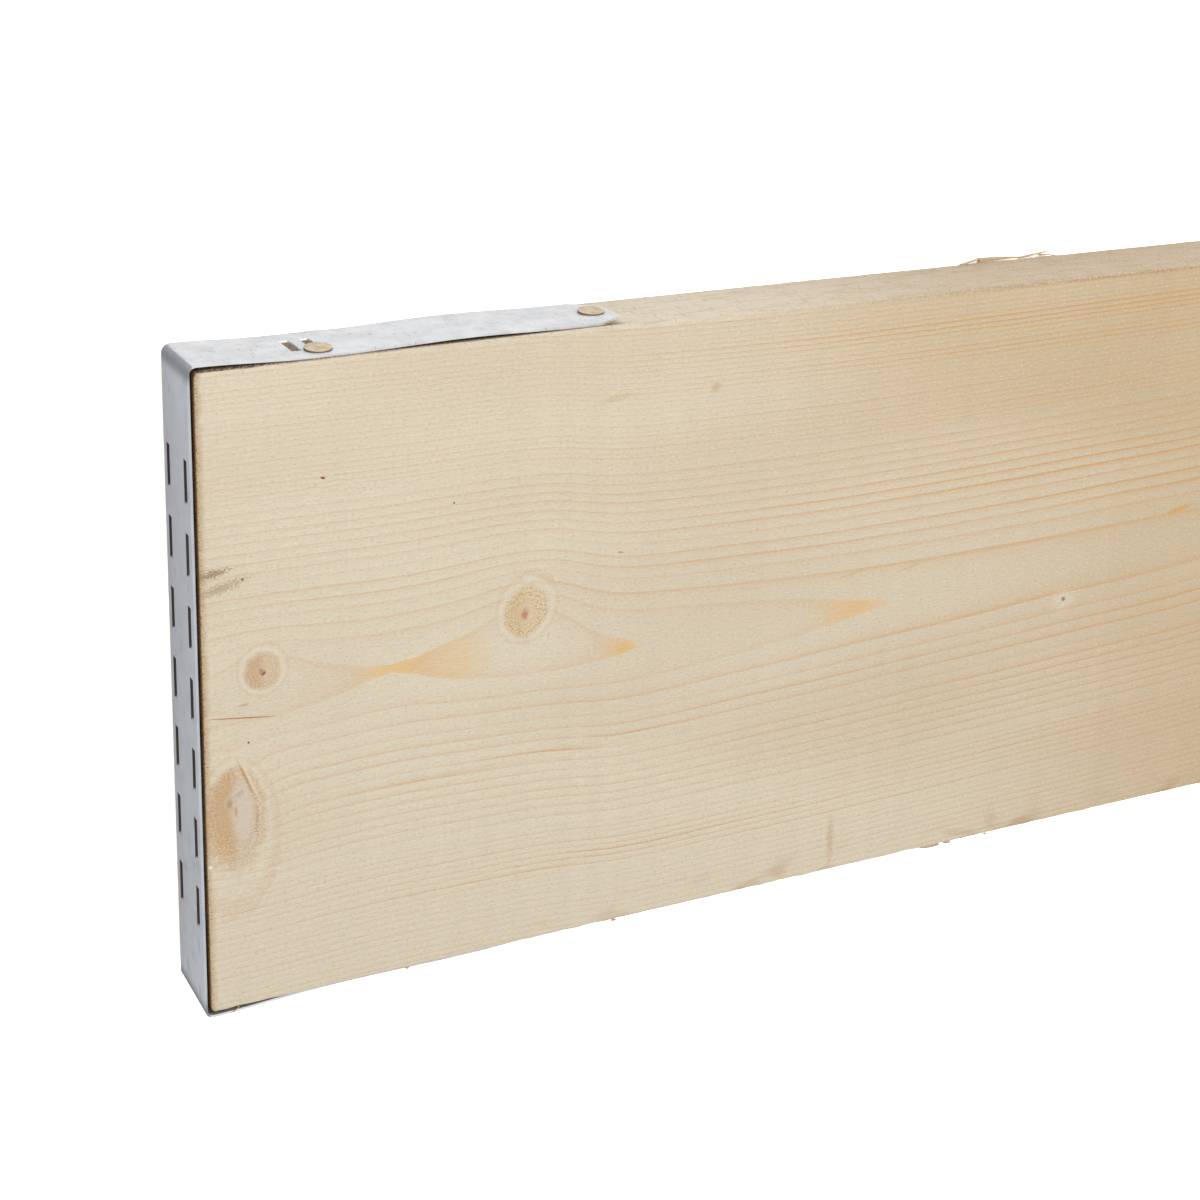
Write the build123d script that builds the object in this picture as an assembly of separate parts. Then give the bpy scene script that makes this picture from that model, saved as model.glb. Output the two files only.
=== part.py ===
from build123d import *
import os

# A sawn softwood scaffold board with a folded, punched steel band nailed round each end.
# Millimetres. The board lies flat: X runs along it, Y across its width, and Z up through its
# thickness. The origin is the middle of its underside.

# Board
LENGTH = 2400.0
WIDTH = 225.0
THICKNESS = 38.0
ARRIS = 0.8             # chamfer that the saw and handling leave on the long edges
END_CORNER = 2.5        # radius of the end's upright corners, crushed by the band

# Band sheet and its folds
SHEET = 0.9
BAND_WIDTH = 30.0
BAND_OFFSET = 3.0       # how far the band sits above the middle of the thickness at the end
END_GAP = 0.9           # between the sheet and the end grain
BEND_RADIUS = 2.2       # inside radius of the two corner folds
CORNER_LIFT = 1.3       # how far a leg stands off the edge just past its fold
MID_LIFT = 1.0          # how far a leg bows off the edge between its nails
LEG_SLOPE = 0.024       # how far a leg runs down across the edge for each millimetre of its length

# Driven tip of a leg
LEG_LENGTH = 161.0      # from the end of the board
TAPER_LENGTH = 15.0
TIP_WIDTH = 8.0
TIP_DEPTH = 2.5
TIP_DIRECTION = (1.0, -0.4)     # way the tip points into the wood

# Punched teeth
TOOTH_LENGTH = 12.0
TOOTH_WIDTH = 3.4
TOOTH_POINT = 0.6       # width left at a tooth's point
TOOTH_SHOULDER = 2.4    # length that stays full width before the tooth tapers
SLOT_LENGTH = 14.5      # opening left in the sheet by one tooth
TOOTH_ROWS = 7
TOOTH_PITCH = 25.0
TOOTH_COLUMNS = 2
COLUMN_SPACING = 20.0
LEG_SLOT = 37.5         # first cross slot of a leg, from the end of the board

# Nails
HEAD_DIAMETER = 9.5
HEAD_THICKNESS = 1.3
SHANK_DIAMETER = 3.0
NAIL_LENGTH = 40.0
POINT_LENGTH = 4.5
POINT_WIDTH = 0.6       # flat left at the sharp end of the four-sided point
NAIL_INNER = 44.5       # from the end of the board
NAIL_INNER_SHIFT = 8.0  # how far the inner nail sits above the band's middle line
NAIL_TO_TIP = 12.5      # from the outer nail to the end of the leg
SEAT_MARGIN = 0.5       # flat leg that a nail pulls down round its head

# Clearances
NAIL_CLEARANCE = 0.1
TOOTH_CLEARANCE = 0.1
TIP_CLEARANCE = 0.3

END = LENGTH / 2
EDGE = WIDTH / 2
MIDDLE = THICKNESS / 2
BAND_MIDDLE = MIDDLE + BAND_OFFSET
NAIL_OUTER = LEG_LENGTH - NAIL_TO_TIP
TAPER_START = LEG_LENGTH - TAPER_LENGTH
SEAT_HALF = HEAD_DIAMETER / 2 + SEAT_MARGIN
HALF_TURN = 2 ** -0.5               # share of a radius that the middle of a quarter turn has left

# Looks along the width from the near end: local x runs along the board, and local y up
SIDE = Plane(origin=(-END, 0, 0), x_dir=(1, 0, 0), z_dir=(0, -1, 0))


def band_line(distance):
    """Height of the band's middle line at a distance from the end of the board."""
    return BAND_MIDDLE - LEG_SLOPE * distance


def leg_profile():
    """One leg of the band with its corner fold and its half of the end web, seen from above.

    Local x runs from the end plane along the board, and local y from the board's middle.
    """
    inside = -END_GAP
    outside = inside - SHEET
    fold = Vector(inside + BEND_RADIUS, EDGE + CORNER_LIFT - BEND_RADIUS)
    seats = [(place - SEAT_HALF, place + SEAT_HALF) for place in (NAIL_INNER, NAIL_OUTER)]
    bow = (NAIL_INNER + NAIL_OUTER) / 2
    along = (1, 0)

    def leg_side(raised):
        """The leg's inner face for raised 0, and its outer face for raised SHEET."""
        level = EDGE + raised
        (inner_start, inner_end), (outer_start, outer_end) = seats
        bowed = [(inner_end, level), (bow, level + MID_LIFT), (outer_start, level)]
        driven = [(outer_end, level), (LEG_LENGTH, level - TIP_DEPTH)]
        return [
            Spline((fold.X, level + CORNER_LIFT), (inner_start, level), tangents=[along, along]),
            Line((inner_start, level), (inner_end, level)),
            Spline(*bowed, tangents=[along, along]),
            Line((outer_start, level), (outer_end, level)),
            Spline(*driven, tangents=[along, TIP_DIRECTION]),
        ]

    lower = leg_side(0)
    upper = leg_side(SHEET)
    folds = []
    for radius in (BEND_RADIUS, BEND_RADIUS + SHEET):
        halfway = (fold.X - radius * HALF_TURN, fold.Y + radius * HALF_TURN)
        folds.append(ThreePointArc((fold.X - radius, fold.Y), halfway, (fold.X, fold.Y + radius)))
    ends = [
        Line((inside, 0), (inside, fold.Y)),
        Line((outside, 0), (outside, fold.Y)),
        Line((inside, 0), (outside, 0)),
        Line((LEG_LENGTH, EDGE - TIP_DEPTH), (LEG_LENGTH, EDGE + SHEET - TIP_DEPTH)),
    ]
    return make_face([*lower, *upper, *folds, *ends])


def band_outline(margin=0.0):
    """Side view of the band: its straight width, the skew of the legs and the tapered tips."""
    half = BAND_WIDTH / 2 + margin
    tip = TIP_WIDTH / 2 + margin
    fold_end = BEND_RADIUS
    reach = LEG_LENGTH + margin
    corners = [
        (-BAND_WIDTH, BAND_MIDDLE + half),
        (fold_end, band_line(fold_end) + half),
        (TAPER_START, band_line(TAPER_START) + half),
        (reach, band_line(LEG_LENGTH) + tip),
        (reach, band_line(LEG_LENGTH) - tip),
        (TAPER_START, band_line(TAPER_START) - half),
        (fold_end, band_line(fold_end) - half),
        (-BAND_WIDTH, BAND_MIDDLE - half),
    ]
    return make_face(Polyline(*corners, close=True))


def tooth_outline(margin=0.0):
    """Flat shape of a tooth, local x down into the wood and local y across the tooth."""
    half = TOOTH_WIDTH / 2 + margin
    point = TOOTH_POINT / 2 + margin
    start = -SHEET
    end = TOOTH_LENGTH + margin
    return make_face(Polyline((start, half), (TOOTH_SHOULDER, half), (end, point), (end, -point),
                              (TOOTH_SHOULDER, -half), (start, -half), close=True))


def tooth(place):
    """A tooth, folded sharply with a round outer bend.

    In the plane given, x runs along the slot and y down into the wood.
    """
    bend = SHEET * HALF_TURN
    section = make_face([
        ThreePointArc((-SHEET, -SHEET), (bend - SHEET, -bend), (0, 0)),
        Polyline((0, 0), (0, TOOTH_LENGTH), (-SHEET, TOOTH_LENGTH), (-SHEET, -SHEET)),
    ])
    blank = extrude(place * section, TOOTH_WIDTH / 2, both=True)
    face_on = Plane(origin=place.origin, x_dir=place.y_dir, z_dir=place.x_dir)
    return blank & extrude(face_on * tooth_outline(), 2 * SHEET, both=True)


def tooth_slot(place):
    """The opening in the sheet that one tooth leaves."""
    slot_middle = place * Pos((SLOT_LENGTH - SHEET) / 2, -SHEET / 2, 0)
    return slot_middle * Box(SLOT_LENGTH + SHEET, 3 * SHEET, TOOTH_WIDTH)


def tooth_pocket(place):
    """The cut that a driven tooth makes in the wood, with a little clearance."""
    face_on = Plane(origin=place.origin, x_dir=place.y_dir, z_dir=place.x_dir)
    blade = face_on.offset(-SHEET / 2) * tooth_outline(TOOTH_CLEARANCE)
    return extrude(blade, SHEET / 2 + TOOTH_CLEARANCE, both=True)


def web_tooth_places():
    """Tooth places on the band's end web, row by row: slots run up the web from each fold."""
    root = (-END - END_GAP, -SLOT_LENGTH / 2, BAND_MIDDLE)
    web = Plane(origin=root, x_dir=(0, 1, 0), z_dir=(0, 0, -1))
    grid = GridLocations(TOOTH_PITCH, COLUMN_SPACING, TOOTH_ROWS, TOOTH_COLUMNS)
    spots = [web.from_local_coords((spot.position.X, 0, spot.position.Y)) for spot in grid]
    return [Plane(origin=spot, x_dir=web.x_dir, z_dir=web.z_dir) for spot in spots]


def leg_tooth_places():
    """Tooth places on the two legs: one cross slot before the inner nail, and one under it."""
    places = []
    for side in (1, -1):
        for distance in (LEG_SLOT, NAIL_INNER):
            root = band_line(distance) - SLOT_LENGTH / 2
            origin = (distance - END, side * EDGE, root)
            places.append(Plane(origin=origin, x_dir=(0, 0, 1), z_dir=(side, 0, 0)))
    return places


def nail_places():
    """Name and place of each nail of the near band: x along the board, y at the wood, z up."""
    places = {}
    for side_name, side in (("top", 1), ("bottom", -1)):
        inner = (NAIL_INNER, band_line(NAIL_INNER) + NAIL_INNER_SHIFT)
        outer = (NAIL_OUTER, band_line(NAIL_OUTER))
        for reach_name, (distance, height) in (("inner", inner), ("outer", outer)):
            origin = (distance - END, side * EDGE, height)
            place = Plane(origin=origin, x_dir=(1, 0, 0), z_dir=(0, side, 0))
            places[f"{side_name}_{reach_name}"] = place
    return places


def nail(place):
    """A round flat-head nail with a four-sided point.

    The head rests on the band, and the nail is driven in along local -z.
    """
    point_start = SHEET - NAIL_LENGTH + POINT_LENGTH
    wire = Circle(SHANK_DIAMETER / 2)
    head = Pos(0, 0, SHEET) * extrude(Circle(HEAD_DIAMETER / 2), HEAD_THICKNESS)
    shank = Pos(0, 0, point_start) * extrude(wire, SHEET - point_start)
    root = Pos(0, 0, point_start) * Rectangle(SHANK_DIAMETER, SHANK_DIAMETER)
    tip = Pos(0, 0, point_start - POINT_LENGTH) * Rectangle(POINT_WIDTH, POINT_WIDTH)
    point = loft([root, tip]) & Pos(0, 0, point_start - POINT_LENGTH) * extrude(wire, POINT_LENGTH)
    return place * (head + shank + point)


def nail_hole(place):
    """The hole that a nail's shank takes, through the sheet and into the wood."""
    depth = NAIL_LENGTH + NAIL_CLEARANCE
    radius = SHANK_DIAMETER / 2 + NAIL_CLEARANCE
    return place * Pos(0, 0, SHEET - depth / 2 + NAIL_CLEARANCE) * Cylinder(radius, depth)


def band():
    """The folded band round the near end, before its nail holes."""
    profile = Location((-END, 0, 0)) * leg_profile()
    leg = extrude(profile, THICKNESS)
    strip = leg + mirror(leg, about=Plane.XZ)
    strip = strip & extrude(SIDE * band_outline(), WIDTH, both=True)
    places = web_tooth_places() + leg_tooth_places()
    strip = strip - [tooth_slot(place) for place in places]
    return strip + [tooth(place) for place in places]


def tip_pocket(side):
    """The dent in the board's edge that a leg's driven tip sits in."""
    start = NAIL_OUTER + SEAT_HALF - TIP_CLEARANCE
    end = LEG_LENGTH + TIP_CLEARANCE
    dent = make_face(Polyline(
        (start - END, side * EDGE),
        (start - END, side * (EDGE + SHEET)),
        (end - END, side * (EDGE + SHEET)),
        (end - END, side * (EDGE - TIP_DEPTH - TIP_CLEARANCE)),
        close=True,
    ))
    return extrude(dent, THICKNESS) & extrude(SIDE * band_outline(TIP_CLEARANCE), WIDTH, both=True)


def board():
    """The sawn board, with the cuts that the near fittings make repeated at the far end."""
    plan = fillet(Rectangle(LENGTH, WIDTH).vertices(), END_CORNER)
    plank = extrude(plan, THICKNESS)
    long_edges = plank.edges().filter_by(Axis.X)
    plank = chamfer(long_edges, ARRIS)
    near_cuts = [tooth_pocket(place) for place in web_tooth_places() + leg_tooth_places()]
    near_cuts += [nail_hole(place) for place in nail_places().values()]
    near_cuts += [tip_pocket(side) for side in (1, -1)]
    far_cuts = [to_far_end(cut) for cut in near_cuts]
    return plank - near_cuts - far_cuts


def to_far_end(shape):
    """The same shape at the other end of the board."""
    return Rot(0, 0, 180) * shape


nails = nail_places()
near_band = band() - [nail_hole(place) for place in nails.values()]

parts = {"board": board(), "end_band_near": near_band, "end_band_far": to_far_end(near_band)}
for name, place in nails.items():
    parts[f"nail_near_{name}"] = nail(place)
    parts[f"nail_far_{name}"] = to_far_end(nail(place))

os.makedirs("parts", exist_ok=True)
for name, shape in parts.items():
    export_step(shape, f"parts/{name}.step")
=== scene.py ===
"""A whitewood scaffold board, dressed: sawn softwood with a nailed, punched steel band round each end."""

import logging
import math
import random
from collections.abc import Callable, Sequence
from dataclasses import dataclass
from enum import Enum
from functools import reduce
from typing import Union

import bmesh
import bpy
from mathutils import Matrix, Vector


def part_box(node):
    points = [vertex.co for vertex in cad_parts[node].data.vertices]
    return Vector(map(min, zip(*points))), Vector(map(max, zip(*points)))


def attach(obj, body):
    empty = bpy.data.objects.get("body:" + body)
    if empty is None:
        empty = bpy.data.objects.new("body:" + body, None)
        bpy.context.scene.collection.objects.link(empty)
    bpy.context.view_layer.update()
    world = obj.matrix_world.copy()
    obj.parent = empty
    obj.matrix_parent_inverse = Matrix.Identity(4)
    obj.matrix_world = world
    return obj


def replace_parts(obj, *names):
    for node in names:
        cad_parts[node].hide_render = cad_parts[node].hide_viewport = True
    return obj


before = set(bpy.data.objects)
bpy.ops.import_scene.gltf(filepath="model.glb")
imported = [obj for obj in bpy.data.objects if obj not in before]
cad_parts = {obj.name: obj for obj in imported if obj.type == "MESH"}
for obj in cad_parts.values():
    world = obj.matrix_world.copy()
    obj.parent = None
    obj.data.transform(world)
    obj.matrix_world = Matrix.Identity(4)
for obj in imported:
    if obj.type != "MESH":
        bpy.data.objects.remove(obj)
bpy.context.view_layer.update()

LOG = logging.getLogger("board")
MM = 0.001
TINY = 1e-6             # metres
AXIAL = 0.999           # a direction with this share of an axis runs along it
FADE = 2.3              # how far a soft stretch reaches, as a share of its half size
BODY = "root"

Colour = tuple[float, float, float]
Value = Union["Field", float]


class Slot(Enum):
    """Material slots of the record that new pieces are made for."""

    WOOD = "whitewood"
    NAIL = "nail_steel"


class Sum(Enum):
    """Node operations that a formula uses."""

    ADD = "ADD"
    SUBTRACT = "SUBTRACT"
    MULTIPLY = "MULTIPLY"
    DIVIDE = "DIVIDE"
    ROOT = "SQRT"
    FLOOR = "FLOOR"
    FRACTION = "FRACT"
    ABSOLUTE = "ABSOLUTE"
    GREATER = "MAXIMUM"
    SMALLER = "MINIMUM"
    EXPONENT = "EXPONENT"


def linear(tint: Colour) -> tuple[float, float, float, float]:
    """Linear light with a full alpha, from red, green and blue on screen, 0 to 255."""
    shares = [value / 255 for value in tint]
    return *[share / 12.92 if share <= 0.04045 else ((share + 0.055) / 1.055) ** 2.4 for share in shares], 1.0


def read_line(points: tuple[tuple[float, float], ...], place: float) -> float:
    """Height at a place of a line of straight pieces, given as pairs of place and height."""
    for (start, low), (end, high) in zip(points, points[1:]):
        if place <= end:
            return low + (high - low) * (place - start) / (end - start)
    return points[-1][1]


@dataclass
class Field:
    """A number, point or colour that varies over a surface: one output of a node."""

    graph: "Graph"
    socket: bpy.types.NodeSocket

    def _sum(self, kind: Sum, *others: Value) -> "Field":
        """One Math node over this field and others."""
        return self.graph.math(kind, self, *others)

    def __add__(self, other: Value) -> "Field":
        """Sum."""
        return self._sum(Sum.ADD, other)

    def __sub__(self, other: Value) -> "Field":
        """Difference."""
        return self._sum(Sum.SUBTRACT, other)

    def __rsub__(self, other: float) -> "Field":
        """Difference from a number."""
        return self.graph.math(Sum.SUBTRACT, other, self)

    def __mul__(self, other: Value) -> "Field":
        """Product."""
        return self._sum(Sum.MULTIPLY, other)

    def __truediv__(self, other: Value) -> "Field":
        """Quotient."""
        return self._sum(Sum.DIVIDE, other)

    def squared(self) -> "Field":
        """The field times itself."""
        return self * self

    def root(self) -> "Field":
        """Square root."""
        return self._sum(Sum.ROOT)

    def floor(self) -> "Field":
        """Whole part."""
        return self._sum(Sum.FLOOR)

    def fraction(self) -> "Field":
        """Part after the point."""
        return self._sum(Sum.FRACTION)

    def size(self) -> "Field":
        """Absolute value."""
        return self._sum(Sum.ABSOLUTE)

    def at_least(self, other: Value) -> "Field":
        """The larger of the two."""
        return self._sum(Sum.GREATER, other)

    def at_most(self, other: Value) -> "Field":
        """The smaller of the two."""
        return self._sum(Sum.SMALLER, other)

    def bell(self) -> "Field":
        """One where the field is zero, falling off smoothly on both sides."""
        return (self.squared() * -0.5)._sum(Sum.EXPONENT)

    def ramp(self, start: float, end: float, height: float = 1.0) -> "Field":
        """Zero up to start and a height from end on, with a soft step between; start may be the larger."""
        low, high = (0.0, height) if start < end else (height, 0.0)
        limits = {"From Min": min(start, end), "From Max": max(start, end), "To Min": low, "To Max": high}
        return self.graph.node("MapRange", {"Value": self, **limits}, "Result",
                               interpolation_type="SMOOTHSTEP")

    def near(self, place: float, reach: float, height: float = 1.0) -> "Field":
        """A height where the field is at a place, fading to zero at a reach on both sides."""
        return (self - place).size().ramp(reach, 0.0, height)


class Graph:
    """The node tree of one material, written as formulas over fields."""

    def __init__(self, name: str) -> None:
        """Start a material of the given name with a Principled shader."""
        self.material = bpy.data.materials.new(name)
        self.material.use_nodes = True
        self.nodes = self.material.node_tree.nodes
        self.links = self.material.node_tree.links
        self.shader = self.nodes["Principled BSDF"]
        self.place = self.node("TexCoord", {}, "Object")

    def fill(self, socket: bpy.types.NodeSocket, value: "Field | float | tuple") -> None:
        """Set a socket to a number or colour, or link a field to it."""
        if isinstance(value, Field):
            self.links.new(value.socket, socket)
        else:
            socket.default_value = value

    def node(self, kind: str, inputs: dict, output: int | str = 0, **settings: str) -> Field:
        """Add a node and give one of its outputs.

        Args:
            kind: The node's type, without the words that every shader node's type starts with.
            inputs: Name or number of each input to fill, with its value.
            output: Name or number of the output.
            **settings: The node's own settings.

        Returns:
            The output.
        """
        node = self.nodes.new(f"ShaderNode{kind}")
        for name, value in settings.items():
            setattr(node, name, value)
        for socket, value in inputs.items():
            self.fill(node.inputs[socket], value)
        return Field(self, node.outputs[output])

    def math(self, kind: Sum, *values: Value) -> Field:
        """One Math node over the given fields and numbers."""
        return self.node("Math", dict(enumerate(values)), operation=kind.value)

    def parts(self, point: Field) -> tuple[Field, ...]:
        """The three parts of a point."""
        node = self.nodes.new("ShaderNodeSeparateXYZ")
        self.fill(node.inputs[0], point)
        return tuple(Field(self, output) for output in node.outputs)

    def facing(self) -> tuple[Field, ...]:
        """The three parts of the surface's direction."""
        return self.parts(self.node("NewGeometry", {}, "Normal"))

    def point(self, *parts: Value) -> Field:
        """A point from its three parts."""
        return self.node("CombineXYZ", dict(enumerate(parts)))

    def length(self, point: Field) -> Field:
        """Distance of a point from its origin."""
        return self.node("VectorMath", {0: point}, "Value", operation="LENGTH")

    def local(self, point: Field, origin: Vector, turn: Vector, scale: Vector) -> Field:
        """The point as measured from an origin, turned and scaled."""
        inputs = {"Vector": point, "Location": origin, "Rotation": turn, "Scale": scale}
        return self.node("Mapping", inputs, vector_type="TEXTURE")

    def noise(self, point: Field, detail: float = 0.0) -> Field:
        """Smooth noise from 0 to 1, about one lump for each unit of the point."""
        return self.node("TexNoise", {"Vector": point, "Scale": 1.0, "Detail": detail})

    def lumps(self, spot: tuple[Field, ...], sizes: tuple[float, ...], detail: float = 0.0) -> Field:
        """Smooth noise from 0 to 1, with lumps of the given sizes."""
        return self.noise(self.point(*[part / size for part, size in zip(spot, sizes)]), detail)

    def patches(self, point: Field) -> Field:
        """A random number for each of many patches, about one patch for each unit of the point."""
        return self.parts(self.node("TexVoronoi", {"Vector": point, "Scale": 1.0}, "Color"))[0]

    def dice(self, value: Field) -> Field:
        """A random number from 0 to 1 for each value."""
        return self.node("TexWhiteNoise", {"W": value}, "Value", noise_dimensions="1D")

    def curve(self, value: Field, points: tuple[tuple[float, float], ...]) -> Field:
        """A smooth line through given points.

        Args:
            value: The field to look up.
            points: Pairs of value and height, in rising order of value.

        Returns:
            The height of the line.
        """
        first, last = points[0][0], points[-1][0]
        heights = [height for _, height in points]
        low, span = min(heights), max(heights) - min(heights)
        node = self.nodes.new("ShaderNodeFloatCurve")
        line = node.mapping.curves[0]
        scaled = [((place - first) / (last - first), (height - low) / span) for place, height in points]
        line.points[0].location = scaled[0]
        line.points[1].location = scaled[-1]
        for place in scaled[1:-1]:
            line.points.new(*place)
        node.mapping.update()
        self.fill(node.inputs["Value"], (value - first) / (last - first))
        return Field(self, node.outputs["Value"]) * span + low

    def mix(self, share: Value, under: "Field | Colour", over: "Field | Colour") -> Field:
        """A colour with a share of another laid over it. The node's colours are inputs 6 and 7, output 2."""
        tints = [tint if isinstance(tint, Field) else linear(tint) for tint in (under, over)]
        return self.node("Mix", {0: share, 6: tints[0], 7: tints[1]}, 2, data_type="RGBA")

    def shade(self, tint: Field, factor: Field) -> Field:
        """A colour made lighter or darker by a factor."""
        return self.node("VectorMath", {0: tint, "Scale": factor}, operation="SCALE")

    def finish(self, tint: Field, rough: Value, relief: Field, depth: float) -> bpy.types.Material:
        """Join colour, roughness and relief to the shader. One unit of relief is the depth, in metres."""
        self.fill(self.shader.inputs["Base Color"], tint)
        self.fill(self.shader.inputs["Roughness"], rough)
        bump = self.nodes.new("ShaderNodeBump")
        bump.inputs["Distance"].default_value = depth
        self.fill(bump.inputs["Height"], relief)
        self.links.new(bump.outputs["Normal"], self.shader.inputs["Normal"])
        return self.material


@dataclass(frozen=True)
class Knot:
    """A branch cut through by the saw: a cone that starts at the pith. Sizes in millimetres."""

    along: float            # from the near end
    across: float           # from the bottom edge
    radius: float           # at the working face, square to the branch
    lean: float             # how far along the board the branch starts before the knot
    swell: float            # how far it pushes the rings out
    reach: float            # how far along the board the rings feel it
    skin: Colour = (213, 184, 153)
    shaded: Colour = (205, 170, 136)    # the half nearer the near end
    torn: float = 0.0       # share of torn grain round its border
    halo: float = 0.5       # strength of the pale ring round it
    heart: float = 0.9      # strength of its reddish pith


class Border(Enum):
    """How far a mark's border wanders, as a share of its size."""

    CLEAN = 0.0
    SOFT = 1.2
    ROUGH = 2.4
    TORN = 3.6


@dataclass(frozen=True)
class Mark:
    """A speck, smear or crack on the working face. Sizes in millimetres, turn in degrees."""

    along: float
    across: float
    half_length: float
    half_width: float
    turn: float
    tint: Colour
    strength: float = 1.0
    border: Border = Border.CLEAN


@dataclass(frozen=True)
class Stretch:
    """A stretch of rings with darker late wood or with resin. Sizes in millimetres."""

    along: float
    half_length: float
    across: float
    half_width: float
    strength: float
    year: int = 0           # the soaked ring, counted from the one that closes the grain's long arrow


@dataclass
class Grain:
    """The fields of one sawn board that its colours are made from. Distances in millimetres."""

    along: Field            # from the near end
    across: Field           # from the bottom edge
    below: Field            # from the working face
    to_end: Field           # from the nearer end
    phase: Field            # place within a growth ring, from 0 to 1
    year: Field             # number of that ring
    branches: dict[Knot, tuple[Field, Field]]   # distance from each branch, and its radius there
    uneven: Field
    pits: Field
    fuzz: Field
    on_face: Field          # the point, with no depth
    borders: dict[Border, Field]
    working_face: Field     # share of each kind of face, from 0 to 1
    narrow_face: Field
    end_face: Field

    @property
    def spot(self) -> tuple[Field, Field, Field]:
        """The three distances that place a point in the board."""
        return self.along, self.across, self.below

    def over(self, stretch: Stretch) -> Field:
        """Strength of a stretch of rings, which fades out on all sides."""
        place = self.along.near(stretch.along, FADE * stretch.half_length, stretch.strength)
        return place * self.across.near(stretch.across, FADE * stretch.half_width)


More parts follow.
